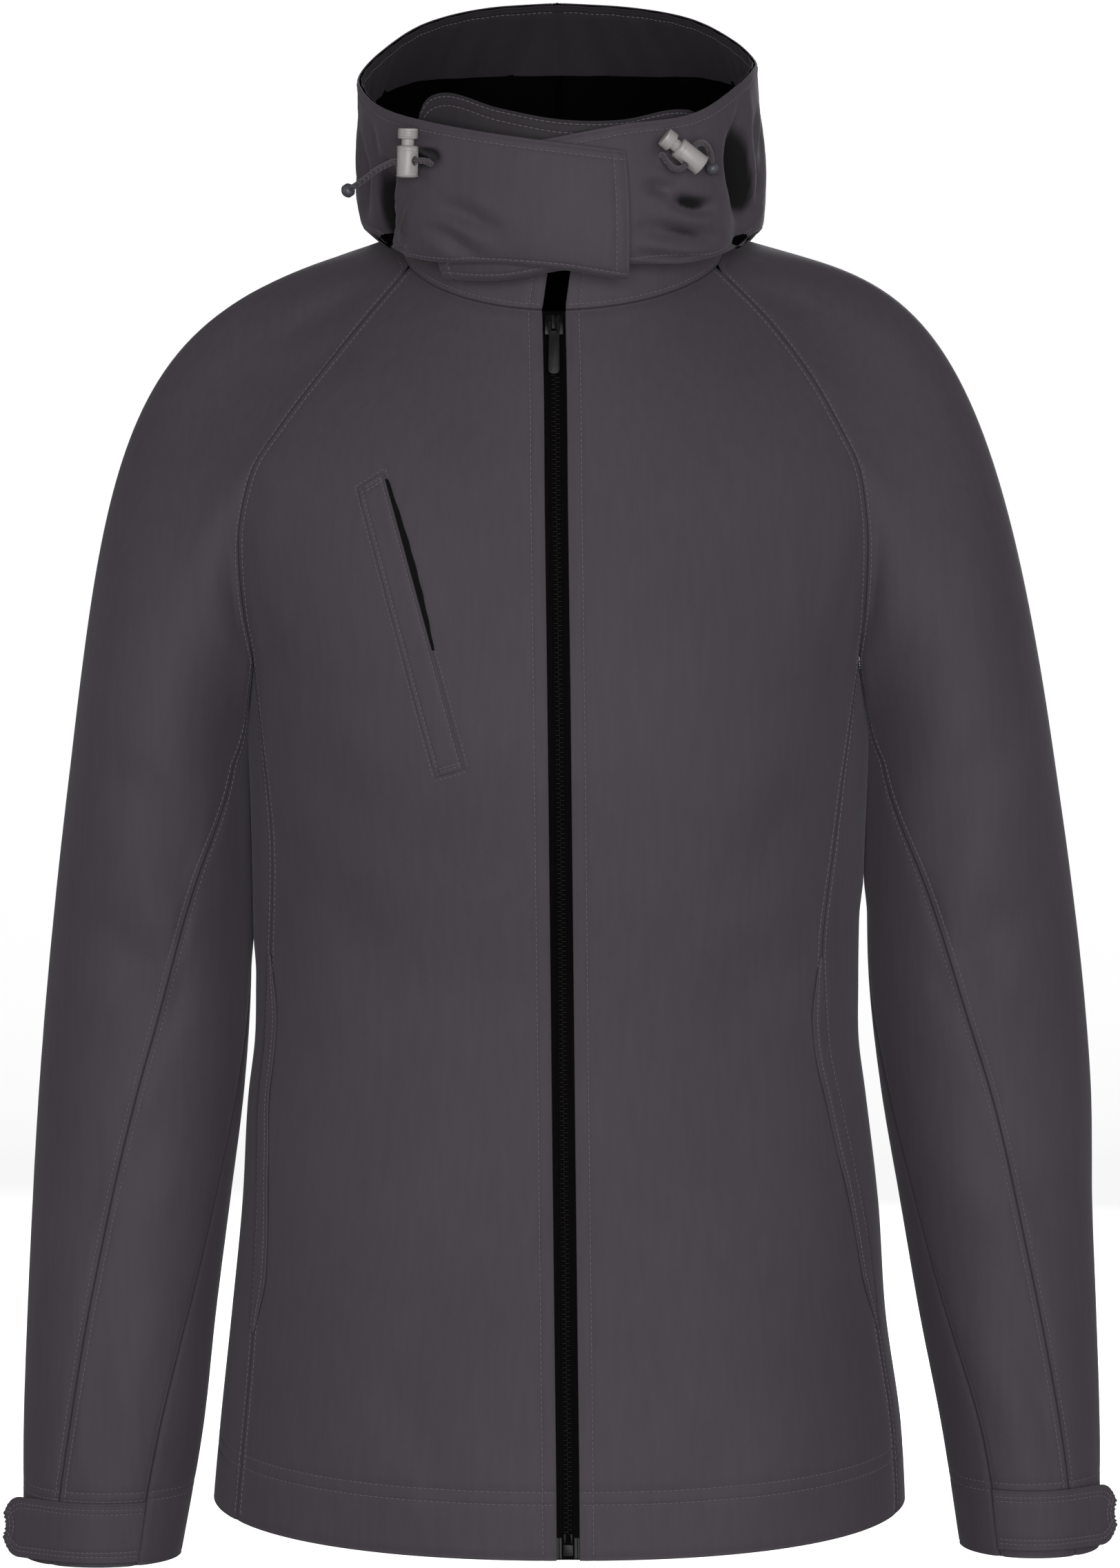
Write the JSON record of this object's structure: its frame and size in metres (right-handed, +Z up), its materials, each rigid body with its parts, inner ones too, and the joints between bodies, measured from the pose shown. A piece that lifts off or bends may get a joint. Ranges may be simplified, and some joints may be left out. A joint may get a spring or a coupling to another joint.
{
  "type": "hooded softshell jacket",
  "caption": "Hooded softshell jacket held out as worn, zipped, with raglan sleeves, cuff tabs, chest and side pockets and a crossover hood with drawcords.",
  "frame": {"origin": "middle of the neck, inside the collar, where the wearer holds the jacket", "axes": "+Z up through the hood, front facing -Y, the wearer's left side at +X"},
  "size_m": [0.5939, 0.2935, 0.8373],
  "materials": {
    "softshell": "matt woven face with a faint sheen",
    "zip_tape": "matt black tape",
    "zip_coil": "satin black",
    "slider_metal": "black enamel",
    "elastic_cord": "braided, matt",
    "lock_plastic": "satin grey",
    "bead_plastic": "satin"
  },
  "bodies": {
    "jacket": {"front_right": "softshell", "front_left": "softshell", "back": "softshell", "side_right": "softshell", "side_left": "softshell", "sleeve_upper_right": "softshell", "sleeve_under_right": "softshell", "sleeve_upper_left": "softshell", "sleeve_under_left": "softshell", "cuff_tab_right": "softshell", "cuff_tab_left": "softshell", "collar_right": "softshell", "collar_left": "softshell", "hood_right": "softshell", "hood_outer_flap": "softshell", "hood_left": "softshell", "hood_under_flap": "softshell", "hood_guard": "softshell", "hood_facing_right": "softshell", "hood_facing_left": "softshell", "zip_tape_right": "zip_tape", "zip_tape_left": "zip_tape", "zip_chain": "zip_coil", "zip_slider": "slider_metal", "zip_box": "slider_metal", "chest_pocket_welt": "softshell", "chest_pocket_slit": "zip_tape", "side_pocket_welt_right": "softshell", "side_pocket_welt_left": "softshell", "drawcord_right": "elastic_cord", "cord_lock_right": "lock_plastic", "cord_bead_right": "bead_plastic", "drawcord_left": "elastic_cord", "cord_lock_left": "lock_plastic", "cord_bead_left": "bead_plastic"},
    "pull_tab": {"zip_pull": "slider_metal"},
    "plunger_right": {"cord_plunger_right": "lock_plastic"},
    "plunger_left": {"cord_plunger_left": "lock_plastic"}
  },
  "joints": [
    {"name": "pull_tab_swing", "type": "hinge", "parent": "jacket", "child": "pull_tab", "pos_m": [-0.00308, -0.0905, -0.01908], "axis": [-1, 0, 0], "range_deg": [0, 90]},
    {"name": "lock_press_right", "type": "slide", "parent": "jacket", "child": "plunger_right", "axis": [-0.02, 0.0499, -0.9986], "range_m": [0, 0.003], "stiffness_N_per_m": 400, "springref_m": -0.004},
    {"name": "lock_press_left", "type": "slide", "parent": "jacket", "child": "plunger_left", "axis": [0.7797, 0.1799, -0.5998], "range_m": [0, 0.003], "stiffness_N_per_m": 400, "springref_m": -0.004}
  ]
}
